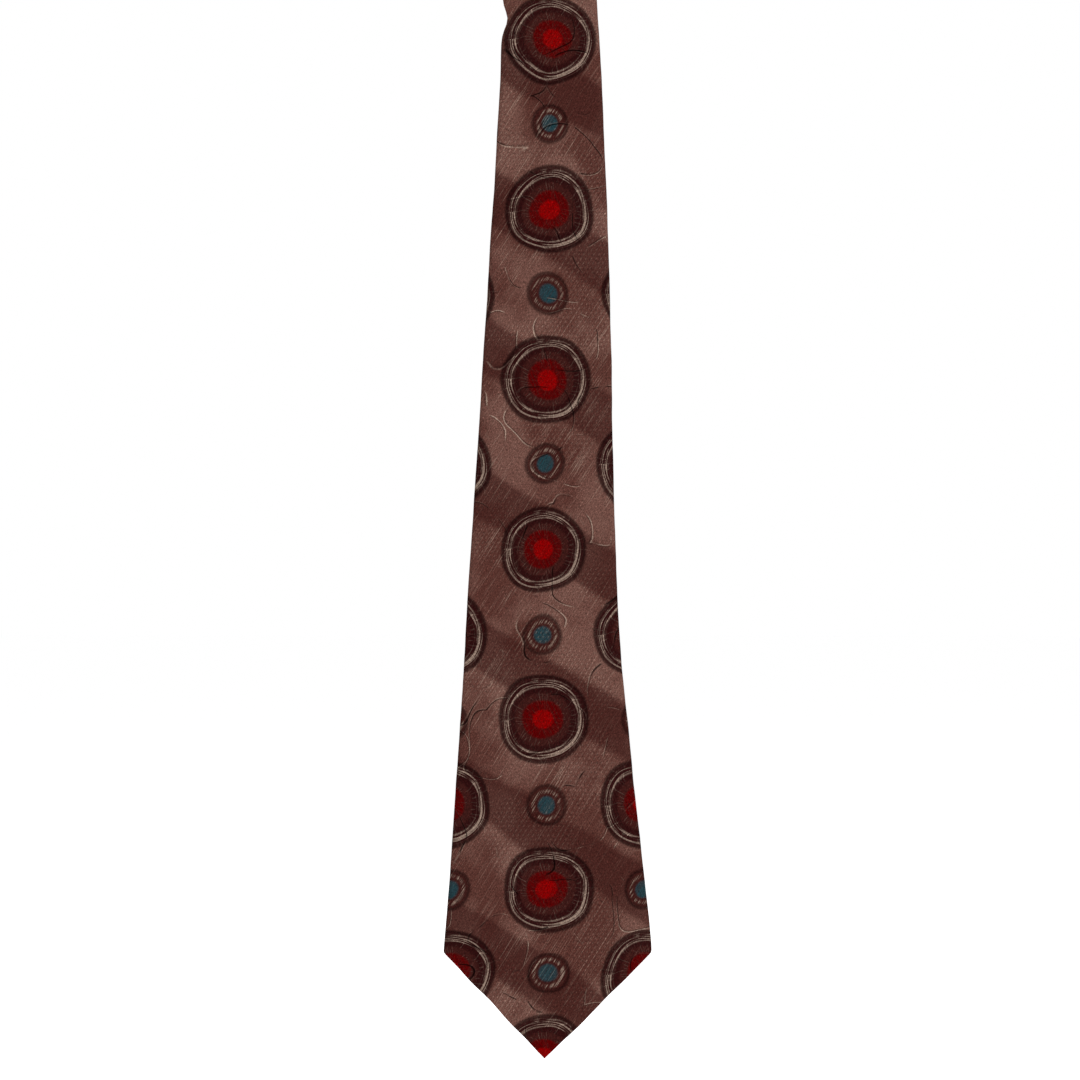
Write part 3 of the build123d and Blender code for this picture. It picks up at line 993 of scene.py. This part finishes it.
def silk_material():
    """Printed jacquard silk: the print, bristle marks, woven dashes, ticks and raised scalloped lines, with
    painted highlights on the raised threads and painted shade along the lines' grooves.
    """
    material, shader, uv = new_material("printed_silk")
    colour, rise, large = print_colour(uv)

    patch = ramp(noise_at(mapped(uv, (7, 13)), scale=0.022, detail=1.0), 0.5, 0.6)
    hair = times(ramp(rise, 0.6, 0.72), patch)

    dot_patch = ramp(noise_at(mapped(uv, (31, -44)), scale=0.024, detail=1.0), 0.48, 0.58)
    dots = times(dot_field(uv), dot_patch)

    line = scallops(uv, 30.0, 0.46)
    broken = ramp(noise_at(uv, scale=0.07, detail=2.0), 0.45, 0.58)
    rough_edge = times(noise_at(uv, scale=1.1, detail=2.0), 0.5)
    dark_line = ramp(calc("ABSOLUTE", plus(line, 0.2)), 0.42, 0.12)
    which = ramp(noise_at(mapped(uv, (51, 9)), scale=0.035, detail=1.0), 0.42, 0.58)
    dimmed = times(broken, ramp(which, 0, 1, 1.0, 0.45))
    dark_line = times(dark_line, dimmed)
    light_line = distance(line, rough_edge)
    lit = times(broken, ramp(which, 0, 1, 0.2, 1.0))
    light_line = times(ramp(light_line, 0.32, 0.06), lit)

    ticks = tick_field(large)

    # Painted highlight: the raised threads are lightened towards sand where they would catch the light, on
    # the pale and coloured parts, and hardly on the black ones
    raised = calc("MAXIMUM", times(hair, 0.4), times(dots, 0.28))
    raised = calc("MAXIMUM", raised, light_line)
    raised = calc("MAXIMUM", raised, times(ticks, 0.9))
    paleness = node("SeparateColor", {0: colour}).outputs["Green"]
    raised = times(raised, ramp(paleness, -0.006, 0.06, 0.03, 0.8))
    colour = mix(raised, colour, SAND)

    threads = noise_at(mapped(uv, tilt=RISE_TILT, scale=(1.1, 0.36)), detail=3.0, rough=0.75)
    speckle = ramp(threads, 0.27, 0.73, 0.48, 1.55)
    # Painted shade: the colour is darkened along the grooves of the scalloped lines
    groove_shade = calc("MULTIPLY_ADD", dark_line, -0.85, 1.0)
    sparks = ramp(noise_at(mapped(uv, (3, 5)), scale=1.5, detail=1.0), 0.66, 0.74)
    glint = calc("MULTIPLY_ADD", sparks, 0.7, 1.0)
    factor = times(times(speckle, groove_shade), glint)
    finished = node("VectorMath", {0: colour, "Scale": factor}, operation="SCALE").outputs[0]

    twill = wave(mapped(uv, tilt=RISE_TILT), 0.55, 0.6, "Y")
    relief = times(ramp(line, -0.6, 0.6), 0.5)
    for field, height in ((threads, 0.6), (twill, 0.25), (dots, 0.5), (rise, 0.6), (ticks, 0.5)):
        relief = calc("MULTIPLY_ADD", field, height, relief)
    feed(shader, {
        "Base Color": finished,
        "Normal": bump(relief, 0.16, 0.8),
        "Roughness": ramp(threads, 0.3, 0.7, 0.52, 0.68),
        "Specular IOR Level": 0.004,
    })
    return material


def weave_material(name, dark, light, pitch, relief, roughness, sheen=0.0, slub=0.25, shine=0.35):
    """Plain weave: two sets of threads at right angles, uneven in tone."""
    material, shader, uv = new_material(name)
    fine = {"Detail": 1.0, "Detail Scale": 2.0}
    crossing = times(*(wave(uv, 0.314 / pitch, 0.4, direction, **fine) for direction in ("X", "Y")))
    uneven = noise_at(mapped(uv, scale=(9.0, pitch * 2)), detail=2.0)
    uneven = times(uneven, slub * 2)
    tone = plus(times(crossing, 1 - slub), uneven)
    feed(shader, {
        "Base Color": mix(ramp(tone, 0.1, 0.9), dark, light),
        "Normal": bump(tone, relief),
        "Roughness": roughness,
        "Specular IOR Level": shine,
        "Sheen Weight": sheen,
    })
    return material


def label_material():
    """Woven satin label with two plain stripes along each long edge, and nothing written on it."""
    material, shader, uv = new_material("woven_label")
    _, along = split(uv)
    low_s, high_s, _, _ = cad_span("maker_label")
    half = (high_s - low_s) / 2
    from_edge = calc("SUBTRACT", half, distance(along, half))
    wide = ramp(distance(from_edge, 2.6), 0.6, 0.5)
    narrow = ramp(distance(from_edge, 3.9), 0.3, 0.2)
    stripes = calc("MAXIMUM", wide, narrow)
    picks = wave(uv, 1.1, 0.3, "Y")
    ends = noise_at(mapped(uv, scale=(0.3, 3.0)), detail=2.0)
    tone = plus(times(picks, 0.4), times(ends, 0.6))
    ground = mix(ramp(tone, 0.2, 0.8), linear(26, 8, 11), linear(56, 24, 27))
    gold = mix(ramp(tone, 0.2, 0.8), linear(120, 92, 52), linear(176, 148, 98))
    feed(shader, {
        "Base Color": mix(stripes, ground, gold),
        "Normal": bump(tone, 0.12),
        "Roughness": 0.42,
        "Specular IOR Level": 0.15,
    })
    return material


def thread_material():
    """Twisted sewing thread: two plies that wind round each other."""
    material, shader, uv = new_material("sewing_thread")
    plies = wave(mapped(uv, tilt=35), 1.4, 0.2, "Y")
    fuzz = noise_at(uv, scale=3.0, detail=3.0)
    tone = plus(times(plies, 0.7), times(fuzz, 0.3))
    colour = mix(ramp(tone, 0.15, 0.85), linear(38, 16, 15), linear(112, 72, 62))
    feed(shader, {"Base Color": colour, "Normal": bump(tone, 0.06), "Roughness": 0.5})
    return material


silk = silk_material()
SATIN_COLOURS = linear(30, 9, 11), linear(62, 26, 28)
WOOL_COLOURS = linear(150, 140, 120), linear(214, 206, 188)
TAPE_COLOURS = linear(196, 190, 178), linear(232, 228, 218)
satin = weave_material("lining_satin", *SATIN_COLOURS, 0.35, 0.08, 0.42, shine=0.15, slub=0.5)
wool = weave_material("interlining_wool", *WOOL_COLOURS, 1.1, 0.35, 0.9, sheen=0.3)
tape = weave_material("tape_satin", *TAPE_COLOURS, 0.4, 0.06, 0.45, slub=0.4)
label_satin = label_material()
thread = thread_material()


def dress(piece, material, cad_node):
    """Gives a piece its material, in its one slot, and hides the CAD node that it replaces."""
    piece.data.materials.clear()
    piece.data.materials.append(material)
    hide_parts(cad_node)


def bend_with(piece):
    """Bakes the piece's transform into its mesh."""
    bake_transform(piece)


for part, (body, *_, joint_name) in STRIPS.items():
    piece = pieces[f"{part}_cloth"]
    dress(piece, silk, f"{body}_shell")
    bend_with(piece)

for part, (body, *_, joint_name) in STRIPS.items():
    piece = pieces[f"{part}_canvas"]
    dress(piece, wool, f"{body}_interlining")
    bend_with(piece)

for body in ("blade", "tail"):
    piece = pieces[f"{body}_lining"]
    dress(piece, satin, f"{body}_tipping")
    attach(piece, body)

for name, (cad_node, joint_name) in BENT_THREADS.items():
    dress(pieces[name], thread, cad_node)
    bend_with(pieces[name])

SEWN = {
    # piece: (CAD node that it stands for, body that it rides on)
    "blade_hem_thread": ("blade_hem_stitches", "blade"),
    "tail_hem_thread": ("tail_hem_stitches", "tail"),
    "blade_tack_thread": ("blade_bar_tack", "blade"),
    "tail_tack_thread": ("tail_bar_tack", "tail"),
    "label_thread": ("label_stitches", "blade"),
    "keeper_thread": ("keeper_stitches", "blade"),
    "tag_thread": ("care_label_stitches", "blade"),
}
for name, (cad_node, body) in SEWN.items():
    dress(pieces[name], thread, cad_node)
    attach(pieces[name], body)

for name in ("label_cloth", "label_turned_ends"):
    dress(pieces[name], label_satin, "maker_label")
    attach(pieces[name], "blade")

strip = pieces["keeper_cloth"]
dress(strip, silk, "keeper_loop")
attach(strip, "blade")

dress(pieces["care_tag"], tape, "care_label")
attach(pieces["care_tag"], "care_label")


# --- Camera, light and floor ---
FRAME_HEIGHT = 508.7  # how much of the tie's length the picture takes in
FRAME_SIDE = -2.1  # the picture's middle, across from the point
FRAME_MIDDLE = 244.4  # the picture's middle, above the point
LENS = 85.0
SENSOR = 36.0
WORLD_LIGHT = 0.33  # strength of the world as a light
FLOOR_HALF = 12.0  # half the floor's side, in metres
FLOOR_DROP = 0.25  # how far it lies below the blade's point, in metres
FLOOR_GLOW = 0.69  # own light that keeps the paper white


def add_camera():
    """A camera that looks straight at the show side."""
    away = FRAME_HEIGHT / 2 / (SENSOR / 2 / LENS)
    data = bpy.data.cameras.new("camera")
    data.lens = LENS
    data.sensor_width = SENSOR
    camera = bpy.data.objects.new("camera", data)
    bpy.context.scene.collection.objects.link(camera)
    show_face = -FOLD_R - HALF_THICK
    camera.location = Vector((FRAME_SIDE, show_face - away, FRAME_MIDDLE - FRONT_DROP)) * MM
    camera.rotation_euler = (math.pi / 2, 0, 0)
    bpy.context.scene.camera = camera


def add_light(name, location, target, size, power):
    """A round soft light that points at the target."""
    data = bpy.data.lights.new(name, "AREA")
    data.shape = "DISK"
    data.size = size
    data.energy = power
    light = bpy.data.objects.new(name, data)
    bpy.context.scene.collection.objects.link(light)
    light.location = location
    aim = Vector(target) - Vector(location)
    light.rotation_euler = aim.to_track_quat("-Z", "Y").to_euler()


def add_world():
    """White where the camera sees past the floor, and a softer white as a light."""
    world = bpy.data.worlds.new("world")
    bpy.context.scene.world = world
    world.use_nodes = True
    tree = world.node_tree
    tree.nodes.clear()
    seen = node("LightPath", tree=tree).outputs["Is Camera Ray"]
    strength = plus(times(seen, 1 - WORLD_LIGHT), WORLD_LIGHT)
    background = node("Background", {"Color": (1, 1, 1, 1), "Strength": strength})
    node("OutputWorld", {"Surface": background.outputs[0]})


def add_floor():
    """A pale floor well below the point of the blade."""
    height = -FRONT_DROP * MM - FLOOR_DROP
    corners = [(x * FLOOR_HALF, y * FLOOR_HALF, height) for x, y in ((-1, -1), (1, -1), (1, 1), (-1, 1))]
    floor = make_piece("floor", corners, [(0, 1, 2, 3)])
    material = bpy.data.materials.new("floor_paper")
    material.use_nodes = True
    tree = material.node_tree
    shader = tree.nodes["Principled BSDF"]
    grain = noise_at(node("NewGeometry", tree=tree).outputs["Position"], scale=40.0, detail=3.0)
    feed(shader, {
        "Base Color": mix(grain, linear(243, 243, 243), linear(250, 250, 250)),
        "Roughness": 0.9,
        "Emission Color": (1, 1, 1, 1),
        "Emission Strength": FLOOR_GLOW,
    })
    floor.data.materials.append(material)


add_camera()
add_world()
add_floor()
LIGHTS = {
    # name: (location, diameter, power), in metres and watts
    "key": ((1.5, -1.7, 0.25), 1.1, 24),
    "fill": ((-1.6, -1.9, -0.1), 1.4, 6),
    "back": ((-0.9, 1.9, 0.4), 1.4, 26),
}
TIE_MIDDLE = (0, 0, FRAME_MIDDLE * MM - FRONT_DROP * MM)
for name, (location, size, power) in LIGHTS.items():
    add_light(name, location, TIE_MIDDLE, size, power)
bpy.context.scene.view_settings.view_transform = "Standard"
